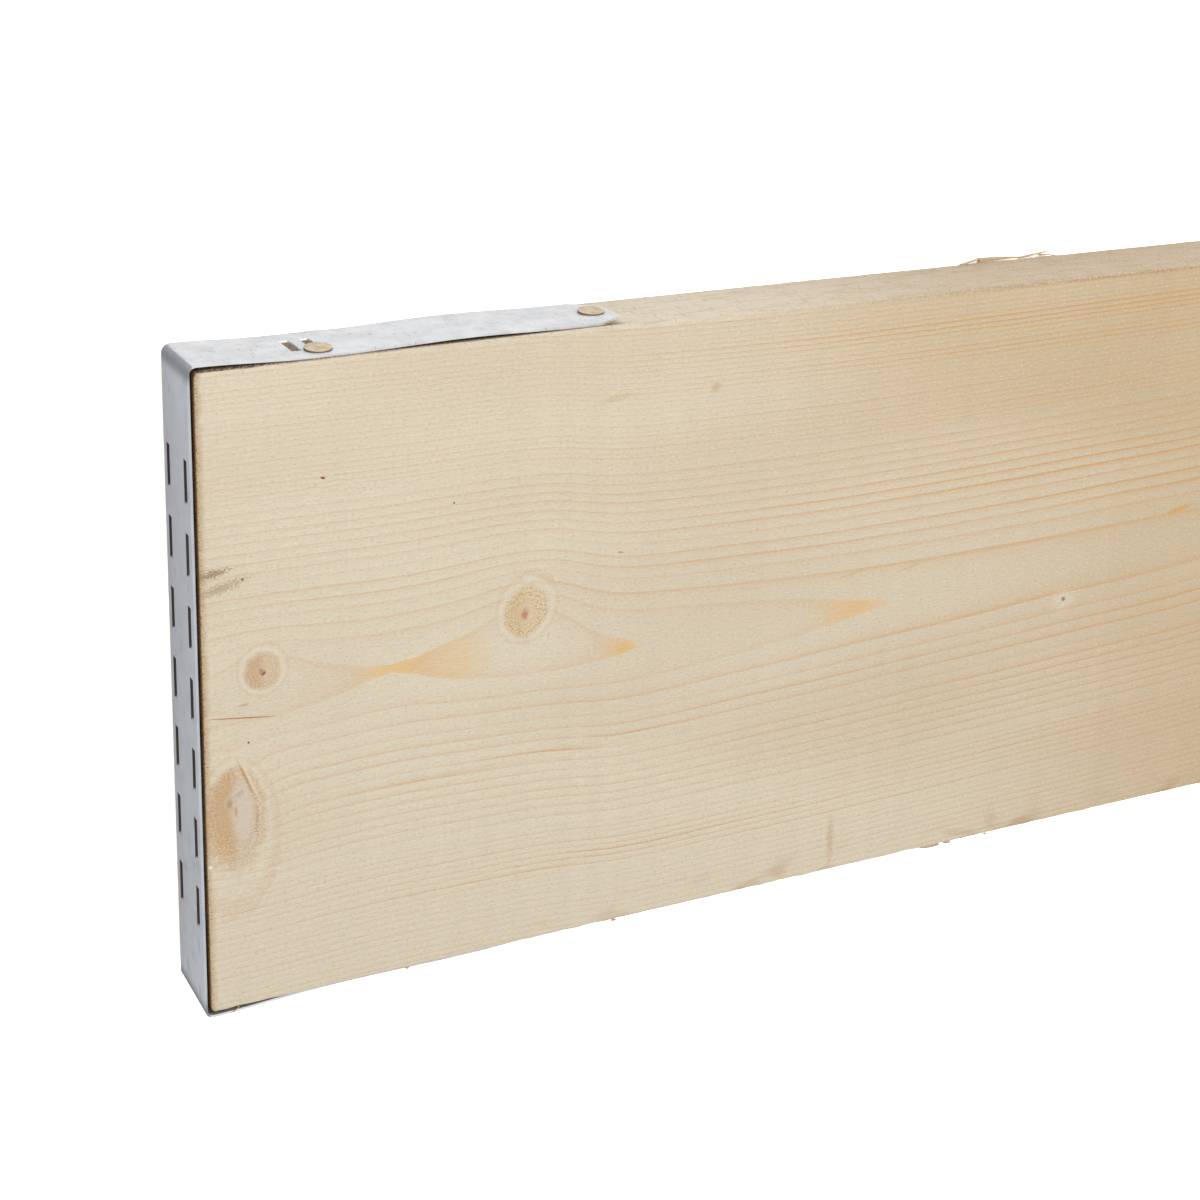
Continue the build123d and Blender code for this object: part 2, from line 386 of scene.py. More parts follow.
@dataclass(frozen=True)
class Whitewood:
    """Sawn spruce: growth rings round a pith above the face, knots and marks. Sizes in millimetres."""

    length: float = 2400.0
    width: float = 225.0
    thickness: float = 38.0
    relief: float = 0.16
    sheen: float = 0.25
    pale: Colour = (231, 219, 195)
    warm: Colour = (210, 188, 155)
    late: Colour = (216, 160, 94)
    amber: Colour = (237, 201, 148)
    edge_tint: Colour = (226, 217, 200)
    end_tint: Colour = (150, 104, 60)
    # dirt and painted shade along the ends
    end_dirt_and_shade: Colour = (198, 166, 122)
    end_crumb: Colour = (146, 108, 68)
    pale_fleck: Colour = (244, 236, 218)
    dark_fleck: Colour = (205, 172, 130)
    edge_dark: Colour = (203, 186, 154)
    edge_pale: Colour = (224, 220, 208)
    saw_line: Colour = (190, 166, 130)
    # painted shade along the bottom arris
    lower_arris_shade: Colour = (142, 112, 80)
    upper_arris: Colour = (166, 124, 82)
    stain: Colour = (184, 148, 108)
    shadow: Colour = (78, 50, 28)
    crumb: Colour = (186, 142, 88)
    halo: Colour = (236, 226, 203)
    knot_border: Colour = (210, 172, 126)
    knot_ring: Colour = (192, 148, 106)
    knot_core: Colour = (228, 210, 190)
    knot_pith: Colour = (188, 126, 84)
    knot_rim: Colour = (194, 146, 98)
    torn_pale: Colour = (244, 224, 180)
    torn_dark: Colour = (180, 134, 78)
    middle: float = 110.0           # the pith's line lies near the middle of the width
    first_ring: float = 32.05       # radius of the ring that closes the long arrow of the grain
    ring: float = 3.16              # width of an early ring
    slow_from: float = 73.0         # radius from which the tree grew slowly
    slow_ring_top: float = 1.83
    slow_ring_bottom: float = 2.25
    band_height: float = 22.0       # middle of the band
    band_half: float = 15.0
    leg_slope: float = 0.024
    leg_length: float = 161.0
    pith_line: tuple[tuple[float, float], ...] = (
        (0, 112.4), (60, 113.2), (100, 113.0), (140, 109.2), (180, 106.6), (220, 106.6), (260, 107.2),
        (300, 108.2), (350, 109.9), (400, 111.6), (480, 114), (620, 110), (800, 104), (1000, 108),
        (1240, 117), (1500, 112), (1760, 104), (2040, 110), (2240, 115), (2400, 113),
    )
    pith_rise: tuple[tuple[float, float], ...] = (
        (0, 27.3), (30, 27.75), (50, 28.3), (67, 28.76), (80, 28.4), (95, 27.8), (115, 27.4), (140, 28.2),
        (160, 28.95), (180, 29.6), (220, 30.9), (261, 31.95), (300, 32.4), (350, 32.8), (400, 33.1),
        (520, 34.2), (700, 38.6), (880, 34.4), (1060, 29), (1240, 33.5), (1420, 41), (1620, 35.5),
        (1800, 30.5), (1980, 37), (2200, 31), (2400, 28),
    )
    knots: tuple[Knot, ...] = (
        Knot(20.4, 120.5, 6.0, 1.0, 2.2, 9.0, (222, 197, 164), (208, 172, 136), 0.35, 0.6, 1.0),
        Knot(115.0, 125.5, 7.6, 6.0, 2.8, 12.0, (226, 204, 168), (220, 194, 152), 1.0, 0.55, 1.0),
        Knot(10.0, 75.4, 9.4, 0.0, 5.0, 10.0, (221, 200, 176), (206, 168, 124), 0.6, 0.3, 0.4),
        Knot(792.0, 146.0, 7.5, 5.0, 3.0, 12.0, torn=0.6),
        Knot(1685.0, 88.0, 9.0, 6.0, 3.5, 14.0, torn=0.8),
    )
    accents: tuple[Stretch, ...] = (
        Stretch(390, 120, 212.5, 3.0, 1.0),
        Stretch(350, 110, 202.5, 2.5, 0.6),
        Stretch(115, 50, 72.3, 1.4, 0.7),
        Stretch(150, 60, 28.5, 2.4, 0.5),
        Stretch(350, 110, 148, 8.0, 0.3),
    )
    resins: tuple[Stretch, ...] = (
        Stretch(67, 8, 113, 7.0, 0.95, -2),
        Stretch(89, 9, 113, 7.0, 0.6, -2),
        Stretch(155, 6, 106.4, 3.0, 0.8, -2),
        Stretch(250, 10, 107, 4.0, 0.75, -1),
    )
    marks: tuple[Mark, ...] = (
        Mark(42.4, 184.8, 1.0, 0.5, -12, (140, 62, 40), 0.9),
        Mark(88.7, 169.9, 0.4, 0.4, 0, (100, 74, 56), 0.9),
        Mark(15.2, 96.4, 0.45, 0.45, 0, (84, 60, 44), 0.9),
        Mark(4.4, 157.0, 5.5, 1.3, 8, (150, 128, 88), 0.75, Border.TORN),
        Mark(7.0, 151.8, 8.5, 1.7, 14, (172, 154, 114), 0.6, Border.TORN),
        Mark(14.5, 153.9, 0.7, 0.5, 14, (128, 96, 64), 0.8, Border.SOFT),
        Mark(13.6, 105.5, 13.0, 0.25, -7, (176, 116, 62), 0.9),
        Mark(1.2, 54.0, 0.7, 0.7, 0, (244, 240, 228)),
        Mark(5.6, 71.0, 4.0, 15.0, 4, (214, 180, 140), 0.4, Border.SOFT),
        Mark(12.4, 72.0, 4.2, 12.0, 2, (224, 211, 193), 0.65, Border.SOFT),
        Mark(10.4, 72.3, 0.6, 2.0, 0, (214, 164, 124), 0.8, Border.SOFT),
        Mark(11.6, 78.5, 1.8, 1.0, 30, (172, 164, 156), 0.5, Border.ROUGH),
        Mark(8.2, 75.5, 1.0, 1.4, 0, (150, 126, 104), 0.45, Border.ROUGH),
        Mark(14.4, 82.8, 8.2, 0.6, -68, (186, 142, 88), 0.6, Border.ROUGH),
        Mark(15.3, 83.2, 8.2, 0.5, -68, (246, 230, 192), 0.5, Border.TORN),
        Mark(17.6, 68.5, 6.0, 0.6, 88, (188, 144, 92), 0.5, Border.TORN),
        Mark(20.9, 119.9, 1.1, 0.5, 40, (142, 84, 56), 0.8, Border.SOFT),
        Mark(13.8, 110.0, 2.2, 0.5, 6, (192, 156, 114), 0.55, Border.SOFT),
        Mark(347.8, 94.6, 6.0, 4.2, 0, (234, 222, 200), 0.45, Border.ROUGH),
        Mark(347.8, 94.8, 1.1, 1.1, 0, (150, 106, 84), 0.75, Border.SOFT),
        Mark(150.0, 199.8, 5.5, 1.2, 6, (200, 172, 128), 0.4, Border.TORN),
        Mark(188.5, 199.4, 2.4, 1.4, 40, (190, 160, 118), 0.45, Border.ROUGH),
        Mark(403.0, 124.6, 7.0, 1.3, 8, (218, 170, 98), 0.8, Border.ROUGH),
        Mark(155.0, 106.3, 5.0, 1.6, 0, (230, 196, 126), 0.55, Border.ROUGH),
        Mark(122.5, 138.0, 4.5, 0.9, -22, (214, 178, 128), 0.4, Border.ROUGH),
        Mark(152.0, 143.0, 1.5, 0.4, -10, (186, 144, 108), 0.8),
        Mark(249.0, 120.3, 7.0, 0.4, 10, (216, 178, 126), 0.5, Border.SOFT),
        Mark(274.0, 119.0, 7.0, 0.4, 12, (216, 178, 126), 0.5, Border.SOFT),
        Mark(244.0, 13.0, 9.0, 1.6, 90, (196, 164, 126), 0.45, Border.TORN),
    )

    def build(self) -> bpy.types.Material:
        """The wood as a solid texture in the board's own coordinates."""
        graph = Graph("sawn_whitewood")
        grain = self._grain(graph)
        tint = graph.mix(self._soaked(graph, grain), self._ground(graph, grain), self.amber)
        tint = graph.mix(self._late_wood(graph, grain), tint, self.late)
        tint = self._faces(graph, grain, tint)
        for knot in self.knots:
            tint = self._knot(graph, grain, knot, tint)
        marked = tint
        for mark in self.marks:
            marked = self._mark(graph, grain, mark, marked)
        tint = graph.mix(grain.working_face, tint, marked)
        tint = self._under_band(graph, grain, tint)
        fibre = graph.lumps(grain.spot, (7, 0.3, 0.3))
        tint = graph.shade(tint, fibre * 0.13 + grain.fuzz * 0.12 + 0.88)
        graph.shader.inputs["Specular IOR Level"].default_value = self.sheen
        rough = grain.fuzz * 0.1 + 0.62
        return graph.finish(tint, rough, fibre * 0.5 + grain.fuzz * 0.4, self.relief * MM)

    def _grain(self, graph: Graph) -> Grain:
        """The fields of the board: where each point lies among the growth rings, branches and faces."""
        x, y, z = graph.parts(graph.place)
        along = x / MM + self.length / 2
        across = y / MM + self.width / 2
        below = self.thickness - z / MM
        side = across - self.middle
        hold = graph.math(Sum.DIVIDE, 1.0, (side / 120).squared() + 1)
        offset = side - (graph.curve(along, self.pith_line) - self.middle) * hold
        rise = graph.curve(along, self.pith_rise) + below
        spot = (along, across, below)
        wander = graph.lumps(spot, (60, 20, 20), 1) * 0.8 - 0.4
        radius = (offset.squared() + rise.squared()).root() + wander
        point = graph.point(*spot)
        branches = {knot: self._branch(graph, point, knot) for knot in self.knots}
        for knot, (away, reach) in branches.items():
            radius = radius - (away / (reach * (knot.reach / knot.radius))).bell() * knot.swell

        slow = offset.ramp(-10, 10) * (1 / self.slow_ring_top - 1 / self.slow_ring_bottom)
        slow = slow + (1 / self.slow_ring_bottom - 1 / self.ring)
        count = (radius - self.first_ring) / self.ring + (radius - self.slow_from).at_least(0) * slow
        uneven_years = graph.noise(graph.point(radius / 3.7, 0.5, 0.5)) - 0.5
        count = count + uneven_years * radius.ramp(34, 42) * 0.5
        pits = graph.lumps(spot, (0.7, 0.6, 0.6), 1)
        to_end = along.at_most(self.length - along)
        facing = graph.facing()
        return Grain(
            along, across, below, to_end, count.fraction(), count.floor(), branches, pits=pits,
            uneven=graph.lumps(spot, (3.1, 3.1, 3.1), 1) * 0.34 - 0.17,
            fuzz=graph.lumps(spot, (1.3, 0.8, 0.8), 1),
            on_face=graph.point(along, across, 0),
            borders={border: (pits - 0.5) * border.value for border in Border if border.value},
            working_face=below.ramp(1.5, 0.5),
            narrow_face=facing[1].size().ramp(0.5, 0.9),
            end_face=facing[0].size().ramp(0.5, 0.9) * to_end.ramp(4, 2))

    def _branch(self, graph: Graph, point: Field, knot: Knot) -> tuple[Field, Field]:
        """Distance from a branch's middle line, and the branch's own radius there."""
        rise = read_line(self.pith_rise, knot.along)
        root = Vector((knot.along - knot.lean, read_line(self.pith_line, knot.along), -rise))
        branch = Vector((knot.along, knot.across, 0)) - root
        turn = branch.to_track_quat("Z", "Y").to_euler()
        local = graph.local(point, root, turn, Vector((1, 1, 1)))
        side, other, out = graph.parts(local)
        reach = (out * (knot.radius / branch.length)).at_least(0.3)
        return graph.length(graph.point(side, other, 0)), reach

    def _late_wood(self, graph: Graph, grain: Grain) -> Field:
        """Strength of the dark late wood, from 0 to 1."""
        line = grain.phase.ramp(0.2, 0.95) * 0.35 + grain.phase.ramp(0.74, 0.94) * 0.65
        line = line * grain.phase.ramp(1.0, 0.955)
        year_strength = graph.dice(grain.year) * 0.32 + 0.22
        fading = graph.noise(graph.point(grain.along / 90, grain.year * 7.3, 0.2)) * 0.9 + 0.4
        bolder = grain.along.ramp(120, 380) * grain.along.ramp(1500, 700) * 0.5 + 0.8
        strength = year_strength * fading * bolder
        for accent in self.accents:
            strength = strength + grain.over(accent)
        dots = graph.lumps(grain.spot, (2.0, 0.5, 0.5))
        return (line * strength * (dots * 0.9 + 0.55)).at_most(1)

    def _soaked(self, graph: Graph, grain: Grain) -> Field:
        """Strength of the resin in the rings that it soaked, from 0 to 1."""
        stretches = [grain.over(resin) * grain.year.near(resin.year, 0.5) for resin in self.resins]
        return reduce(Field.__add__, stretches) * (grain.phase * 0.5 + 0.6) * grain.phase.ramp(0.0, 0.08)

    def _ground(self, graph: Graph, grain: Grain) -> Field:
        """Colour of the early wood, with its slow changes, painted shade towards the top edge, painted light
        towards the bottom edge near the near end, and its pale flecks.
        """
        broad = graph.lumps(grain.spot, (120, 40, 40))
        # slow random changes, and warmer and darker away from the near end
        warmth_and_shading = broad.ramp(0.3, 0.7, 0.2) + grain.along.ramp(60, 520) * grain.along.ramp(1700, 900) * 0.75
        # painted shade: warmer and darker towards the top edge, away from the near end
        warmth_and_shading = warmth_and_shading + grain.across.ramp(130, 215) * grain.along.ramp(150, 420) * 0.42
        # painted light: paler towards the bottom edge near the near end
        warmth_and_shading = warmth_and_shading - grain.across.ramp(80, 15) * grain.along.ramp(420, 280) * 0.32
        tint = graph.mix(warmth_and_shading, self.pale, self.warm)
        tint = graph.mix(grain.fuzz.ramp(0.56, 0.78, 0.26), tint, self.pale_fleck)
        return graph.mix(grain.fuzz.ramp(0.42, 0.26, 0.28), tint, self.dark_fleck)

    def _faces(self, graph: Graph, grain: Grain, tint: Field) -> Field:
        """Differences between the working face, the rough edges, the ends and the stained bottom edge, with
        painted shade along the bottom arris and, beside dirt, along the ends.
        """
        tint = graph.mix(grain.narrow_face * 0.55, tint, self.edge_tint)
        streaks = graph.lumps(grain.spot, (11, 2, 1.8), 1)
        tint = graph.mix(grain.narrow_face * streaks.ramp(0.5, 0.68) * 0.5, tint, self.edge_dark)
        tint = graph.mix(grain.narrow_face * streaks.ramp(0.46, 0.3) * 0.4, tint, self.edge_pale)
        sawn = graph.lumps(grain.spot, (0.8, 4, 5), 1)
        tint = graph.mix(grain.narrow_face * sawn.ramp(0.58, 0.72) * 0.5, tint, self.saw_line)
        tint = graph.mix(grain.end_face * 0.85, tint, self.end_tint)
        # a darker tan strip along the ends: partly dirt, partly painted shade of the worn end arris
        border = (grain.to_end + grain.uneven * 8).ramp(3.2, 0.6)
        tint = graph.mix(border * 0.55, tint, self.end_dirt_and_shade)
        crumbs = (grain.to_end + grain.uneven * 4).ramp(1.7, 0.3) * grain.pits.ramp(0.5, 0.6)
        tint = graph.mix(crumbs * 0.7, tint, self.end_crumb)
        # painted shade: a dark line along the bottom arris
        tint = graph.mix(grain.across.ramp(0.9, 0.2, 0.45), tint, self.lower_arris_shade)
        upper = grain.across.near(self.width - 0.6, 1.6, 0.6) * grain.along.ramp(180, 340)
        tint = graph.mix(upper * grain.pits.ramp(0.3, 0.6), tint, self.upper_arris)
        blotch = graph.lumps(grain.spot, (18, 8, 20), 1)
        stained = grain.across.ramp(13, 1) * blotch.ramp(0.5, 0.7) * grain.along.ramp(60, 250)
        return graph.mix(stained * 0.5, tint, self.stain)

    def _under_band(self, graph: Graph, grain: Grain, tint: Field) -> Field:
        """Grime and deep shadow in the narrow gap between the wood and the band."""
        off_line = (self.thickness - grain.below) - (self.band_height - grain.to_end * self.leg_slope)
        covered = off_line.size().ramp(self.band_half + 1.7, self.band_half + 0.1)
        leg = grain.narrow_face * grain.to_end.ramp(self.leg_length - 5, self.leg_length - 12)
        hidden = covered * leg.at_least(grain.end_face)
        tint = graph.mix(hidden * (grain.pits.ramp(0.6, 0.46) * 0.45 + 0.5), tint, self.shadow)
        return graph.mix(hidden * grain.fuzz.ramp(0.56, 0.68) * 0.6, tint, self.crumb)

    def _knot(self, graph: Graph, grain: Grain, knot: Knot, tint: Field) -> Field:
        """A knot laid over the colour."""
        away, reach = grain.branches[knot]
        share = away / reach + grain.uneven
        specks = grain.pits.ramp(0.3, 0.6)
        tint = graph.mix(share.near(1.22, 0.3, knot.halo * 0.6), tint, self.halo)
        bands = (share * 2.6).fraction().ramp(0.2, 0.9, 0.3) * share.near(1.4, 0.5)
        tint = graph.mix(bands * specks, tint, self.knot_border)
        rings = (share * (knot.radius / 1.3)).fraction().ramp(0.3, 0.95, 0.45)
        near_side = grain.along.ramp(knot.along + 0.25 * knot.radius, knot.along - 0.25 * knot.radius)
        skin = graph.mix(near_side, knot.skin, knot.shaded)
        skin = graph.mix(rings * specks, skin, self.knot_ring)
        skin = graph.mix(share.ramp(0.45, 0.2, 0.35), skin, self.knot_core)
        skin = graph.mix(share.ramp(0.3, 0.08, knot.heart), skin, self.knot_pith)
        tint = graph.mix(share.ramp(1.1, 0.8, 0.8), tint, skin)
        tint = graph.mix(share.near(1.0, 0.14, 0.2), tint, self.knot_rim)
        if not knot.torn:
            return tint
        torn = share.near(0.8, 0.5, 0.75 * knot.torn)
        tint = graph.mix(torn * grain.pits.ramp(0.53, 0.62), tint, self.torn_pale)
        return graph.mix(torn * grain.pits.ramp(0.45, 0.36), tint, self.torn_dark)

    def _mark(self, graph: Graph, grain: Grain, mark: Mark, tint: Field) -> Field:
        """A mark on the working face laid over the colour."""
        origin = Vector((mark.along, mark.across, 0))
        turn = Vector((0, 0, math.radians(mark.turn)))
        scale = Vector((mark.half_length, mark.half_width, 1))
        distance = graph.length(graph.local(grain.on_face, origin, turn, scale))
        if mark.border in grain.borders:
            distance = distance + grain.borders[mark.border]
        return graph.mix(distance.ramp(1.1, 0.6, mark.strength), tint, mark.tint)


@dataclass(frozen=True)
class Galvanised:
    """Zinc-coated sheet: spangle, scuffs, scratches and shallow dents, with painted shade on the end web, in
    the folds and in the slots. Sizes in millimetres.
    """

    zinc: Colour = (238, 239, 241)
    dull: Colour = (218, 220, 223)
    # painted shade of the end web
    web_shade: Colour = (176, 182, 192)
    # painted shade in the punched slots
    slot_shade: Colour = (64, 46, 32)
    scuff: Colour = (136, 137, 140)
    # painted shade in the folds
    fold_shade: Colour = (92, 97, 102)
    metal: float = 0.6
    relief: float = 0.3
    dent_size: float = 14.0
    middle: float = 22.0            # height of the band's middle
    half_band: float = 15.0
    half_length: float = 1200.0
    half_width: float = 112.5

    def build(self) -> bpy.types.Material:
        """The finish of the bands."""
        graph = Graph("galvanised_sheet")
        x, y, z = graph.parts(graph.place)
        along, across, up = spot = x / MM, y / MM, z / MM
        cloud = graph.lumps(spot, (9, 9, 9), 3)
        spangle = graph.patches(graph.point(along / 2.6, across / 2.6, up / 2.6))
        tint = graph.mix(cloud.ramp(0.35, 0.7) * 0.7, self.zinc, self.dull)
        tint = graph.shade(tint, spangle * 0.06 + 0.97)
        rub = graph.lumps(spot, (1.2, 7, 2.4), 4)
        tint = graph.mix(rub.ramp(0.60, 0.74) * cloud.ramp(0.42, 0.6) * 0.6, tint, self.scuff)
        scratch = graph.lumps(spot, (0.5, 14, 6), 2)
        tint = graph.mix(scratch.ramp(0.64, 0.72) * 0.4, tint, self.scuff)
        web = (along.size() - self.half_length).ramp(-0.4, 0.4)
        # painted shade: the end web darker and bluer than the legs
        tint = graph.mix(web * 0.6, tint, self.web_shade)
        # painted shade in the bend between the end web and the legs
        bend_shade = web * across.size().near(self.half_width - 0.4, 5.0, 0.7)
        tint = graph.mix(bend_shade, tint, self.fold_shade)
        sheared = graph.facing()[2].size().ramp(0.6, 0.8)
        inner = (up - self.middle).size().ramp(self.half_band - 0.3, self.half_band - 0.8)
        slots = sheared * inner * web
        # painted shade on the sheared walls of the punched slots
        tint = graph.mix(slots * 0.9, tint, self.slot_shade)
        dents = graph.lumps(spot, (self.dent_size,) * 3, 1)
        graph.fill(graph.shader.inputs["Metallic"], (1.0 - slots) * self.metal)
        rough = cloud * 0.18 + rub * 0.12 + 0.32
        return graph.finish(tint, rough, dents * 3 + rub * 0.12 + scratch * 0.1, self.relief * MM)


@dataclass(frozen=True)
class NailSteel:
    """Yellow-passivated nail steel, rubbed flat on top, with painted shade on the rim. Sizes in millimetres.
    """

    passivated: Colour = (226, 206, 176)
    worn: Colour = (206, 180, 146)
    dark: Colour = (120, 92, 66)
    # painted shade on the rim
    rim: Colour = (62, 50, 42)
    metal: float = 0.4
    relief: float = 0.12
    cloud_size: float = 2.6
    speck_size: float = 0.5

    def build(self) -> bpy.types.Material:
        """The finish of the nails."""
        graph = Graph("passivated_nail")
        spot = graph.parts(graph.place)
        cloud = graph.lumps(spot, (self.cloud_size * MM,) * 3, 3)
        speck = graph.lumps(spot, (self.speck_size * MM,) * 3, 2)
        tint = graph.mix(cloud.ramp(0.4, 0.65), self.passivated, self.worn)
        tint = graph.mix(speck.ramp(0.62, 0.74) * 0.5, tint, self.dark)
        # painted shade on the head's rim and the shank, which face away from the head's top
        tint = graph.mix(graph.facing()[1].size().ramp(0.75, 0.45) * 0.85, tint, self.rim)
        graph.shader.inputs["Metallic"].default_value = self.metal
        return graph.finish(tint, cloud * 0.2 + 0.34, cloud * 0.5 + speck * 0.3, self.relief * MM)


class Bench:
    """The modelling operators that the pieces share."""

    @staticmethod
    def clear() -> None:
        """Leave edit mode and deselect everything."""
        if bpy.context.mode != "OBJECT":
            bpy.ops.object.mode_set(mode="OBJECT")
        bpy.ops.object.select_all(action="DESELECT")

    @staticmethod
    def apply() -> None:
        """Put the active object's place, turn and scale into its mesh."""
        bpy.ops.object.transform_apply(location=True, rotation=True, scale=True)

    @staticmethod
    def pick(piece: bpy.types.Object, kind: str, wanted: Callable) -> None:
        """In edit mode, select just the parts of one kind, EDGE or FACE, that pass a test."""
        bpy.ops.mesh.select_mode(type=kind)
        bpy.ops.mesh.select_all(action="DESELECT")
        mesh = bmesh.from_edit_mesh(piece.data)
        for part in mesh.edges if kind == "EDGE" else mesh.faces:
            part.select_set(wanted(part))
        bmesh.update_edit_mesh(piece.data)

    @staticmethod
    def settle(piece: bpy.types.Object, name: str, material: bpy.types.Material, slot: Slot,
               smooth: float = 35.0) -> bpy.types.Object:
        """Name a piece, put its place into its mesh, smooth it, and hang it on the body.

        Args:
            piece: The modelled object.
            name: The name it gets.
            material: Its finish.
            slot: The record's slot for that finish; not used.
            smooth: Edges flatter than this many degrees are shaded smooth.

        Returns:
            The same object.
        """
        Bench.clear()
        piece.select_set(True)
        bpy.context.view_layer.objects.active = piece
        Bench.apply()
        bpy.ops.object.shade_smooth_by_angle(angle=math.radians(smooth))
        piece.name = name
        piece.data.materials.clear()
        piece.data.materials.append(material)
        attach(piece, BODY)
        LOG.info("%s: %d faces", name, len(piece.data.polygons))
        return piece


@dataclass(frozen=True)
class Bump:
    """A chip out of an arris, or a lump left on one. Millimetres, from the board's middle."""

    along: float
    side: int               # 1 for the edge at +Y, -1 for the one at -Y
    upper: bool             # on the working face, or on the hidden face
    half_length: float
    bite: float


@dataclass
class Board:
    """The sawn board with its worn, chipped arrises. Sizes in metres."""

    material: bpy.types.Material
    length: float = 2.4
    width: float = 0.225
    thickness: float = 0.038
    corner: float = 0.0025
    arris: float = 0.0008
    border: float = 0.0012          # strip beside an arris that takes up its rounding
    step_count: tuple[int, int] = (23, 49)
    wear: float = 0.0007
    wear_size: float = 0.006
    seed: int = 11
    stray_chips: int = 40
    stray_from: float = -720.0      # mm, from the board's middle
    stray_to: float = 1000.0
    chip_inset: float = 0.4         # mm from the face to a chip's middle
    lump_inset: float = 0.1         # mm from the face to a lump's top
    chips: tuple[Bump, ...] = (
        Bump(-1176, -1, True, 7.0, 0.5),
        Bump(-1026, -1, True, 5.0, 0.5),
        Bump(-1002, -1, True, 4.0, 0.6),
        Bump(-940, -1, True, 6.0, 0.5),
        Bump(-920, -1, True, 5.0, 0.8),
        Bump(-886, -1, True, 3.0, 0.5),
        Bump(-950, 1, True, 3.0, 0.6),
        Bump(-861, 1, True, 4.0, 0.6),
        Bump(-821, 1, True, 3.5, 0.7),
    )
    lumps: tuple[Bump, ...] = (
        Bump(-1129, -1, True, 0.8, 0.5),
        Bump(-909, -1, True, 5.0, 0.7),
        Bump(-901, -1, True, 1.8, 0.6),
        Bump(-883, -1, True, 0.7, 0.4),
        Bump(-1048, -1, True, 1.2, 0.4),
    )

    def build(self) -> None:
        """Model the board in place of its CAD node."""
        Bench.clear()
        bpy.ops.mesh.primitive_cube_add(size=1, location=(0, 0, self.thickness / 2),
                                        scale=(self.length, self.width, self.thickness))
        plank = bpy.context.object
        Bench.apply()
        bpy.ops.object.mode_set(mode="EDIT")
        Bench.pick(plank, "EDGE", lambda edge: self._runs(edge, 2))
        bpy.ops.mesh.bevel(offset=self.corner, segments=4, affect="EDGES")
        for cuts in self.step_count:
            Bench.pick(plank, "EDGE", lambda edge: self._runs(edge, 0))
            bpy.ops.mesh.subdivide(number_cuts=cuts)
        Bench.pick(plank, "EDGE", self._is_arris)
        bpy.ops.mesh.bevel(offset=self.arris, segments=3, affect="EDGES")
        for axis in (1, 2):
            Bench.pick(plank, "FACE", lambda face: abs(face.normal[axis]) > AXIAL)
            bpy.ops.mesh.inset(thickness=self.border)
        bpy.ops.object.mode_set(mode="OBJECT")
        self._wear_arrises(plank)
        self._combine(plank, [*self.chips, *self._strays()], "DIFFERENCE")
        self._combine(plank, self.lumps, "UNION")
        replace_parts(Bench.settle(plank, "sawn_board", self.material, Slot.WOOD), "board")

    @staticmethod
    def _runs(edge: bmesh.types.BMEdge, axis: int) -> bool:
        """Whether an edge runs along one axis."""
        run = edge.verts[1].co - edge.verts[0].co
        return abs(run[axis]) > AXIAL * run.length

    @staticmethod
    def _is_arris(edge: bmesh.types.BMEdge) -> bool:
        """Whether an edge lies on the outline of the top or the bottom face."""
        heights = [corner.co.z for corner in edge.verts]
        level = abs(heights[0] - heights[1]) < TINY
        sharp = math.radians(60)
        return level and edge.is_manifold and edge.calc_face_angle(0) > sharp

    def _wear_arrises(self, plank: bpy.types.Object) -> None:
        """Press the arrises in unevenly with a Displace modifier."""
        group = plank.vertex_groups.new(name="arris")
        worn = [vertex.index for vertex in plank.data.vertices if self._is_worn(vertex.co)]
        group.add(worn, 1.0, "REPLACE")
        lumps = bpy.data.textures.new("arris_wear", "CLOUDS")
        lumps.noise_scale = self.wear_size
        lumps.noise_depth = 3
        press = plank.modifiers.new("wear", "DISPLACE")
        press.texture = lumps
        press.texture_coords = "LOCAL"
        press.vertex_group = group.name
        press.mid_level = 1.0
        press.strength = self.wear
        bpy.ops.object.modifier_apply(modifier=press.name)

    def _is_worn(self, spot: Vector) -> bool:
        """Whether a vertex lies on the rounding of a long arris."""
        from_side = self.width / 2 - abs(spot.y)
        from_face = min(spot.z, self.thickness - spot.z)
        inside_ends = abs(spot.x) < self.length / 2 - self.corner
        reach = 1.02 * self.arris
        return inside_ends and from_side < reach and from_face < reach

    def _strays(self) -> list[Bump]:
        """Small chips along the rest of the board."""
        chance = random.Random(self.seed)
        pitch = (self.stray_to - self.stray_from) / self.stray_chips
        return [Bump(self.stray_from + pitch * (place + chance.uniform(0.1, 0.7)), chance.choice((1, -1)),
                     chance.random() < 0.5, chance.uniform(1.5, 8), chance.uniform(0.4, 0.9))
                for place in range(self.stray_chips)]

    def _combine(self, plank: bpy.types.Object, bumps: Sequence[Bump], operation: str) -> None:
        """Cut chips out of the arrises, or join lumps to them.

        Args:
            plank: The board.
            bumps: The chips or lumps.
            operation: The Boolean modifier's operation.
        """
        Bench.clear()
        shapes = []
        for bump in bumps:
            inset = self.chip_inset if operation == "DIFFERENCE" else bump.bite + self.lump_inset
            height = self.thickness - inset * MM if bump.upper else inset * MM
            bpy.ops.mesh.primitive_ico_sphere_add(
                subdivisions=2, radius=1, rotation=(0.6, 0, 0.05 * bump.side),
                location=(bump.along * MM, bump.side * self.width / 2, height),
                scale=(bump.half_length * MM, bump.bite * MM, bump.bite * MM))
            shapes.append(bpy.context.object)
        for shape in shapes:
            shape.select_set(True)
        bpy.ops.object.join()
        tool = bpy.context.object
        change = plank.modifiers.new("chips", "BOOLEAN")
        change.operation = operation
        change.solver = "EXACT"
        change.object = tool
        bpy.context.view_layer.objects.active = plank
        bpy.ops.object.modifier_apply(modifier=change.name)
        bpy.data.objects.remove(tool)


